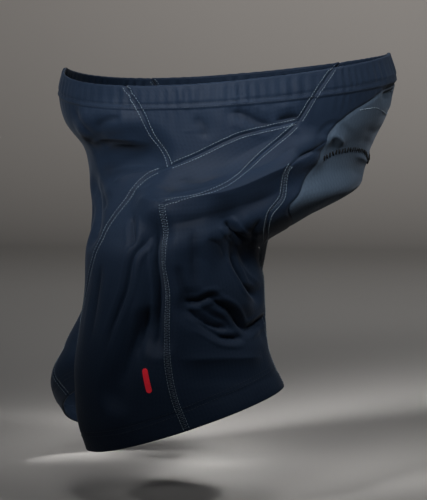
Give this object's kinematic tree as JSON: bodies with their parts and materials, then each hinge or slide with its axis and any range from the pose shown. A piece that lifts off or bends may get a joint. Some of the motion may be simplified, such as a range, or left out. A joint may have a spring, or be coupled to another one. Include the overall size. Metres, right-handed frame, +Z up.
{
  "type": "cycling shorts",
  "caption": "Close-fitting padded cycling shorts, filled out as when worn and empty inside, with an elastic waist casing, shaped hip and thigh pieces and turned-up hems.",
  "frame": {"origin": "middle of the waist ring, where the wearer's waist holds the shorts up", "axes": "+Z up out of the waist, -Y towards the front, +X towards the wearer's left"},
  "size_m": [0.3028, 0.3245, 0.3626],
  "materials": {
    "body_knit": "satin",
    "seat_knit": "matt"
  },
  "bodies": {
    "root": {"left_front": "body_knit", "left_hip": "body_knit", "left_thigh": "body_knit", "left_back": "body_knit", "left_inner_leg": "body_knit", "right_front": "body_knit", "right_hip": "body_knit", "right_thigh": "body_knit", "right_back": "body_knit", "right_inner_leg": "body_knit", "seat": "seat_knit"}
  },
  "joints": []
}
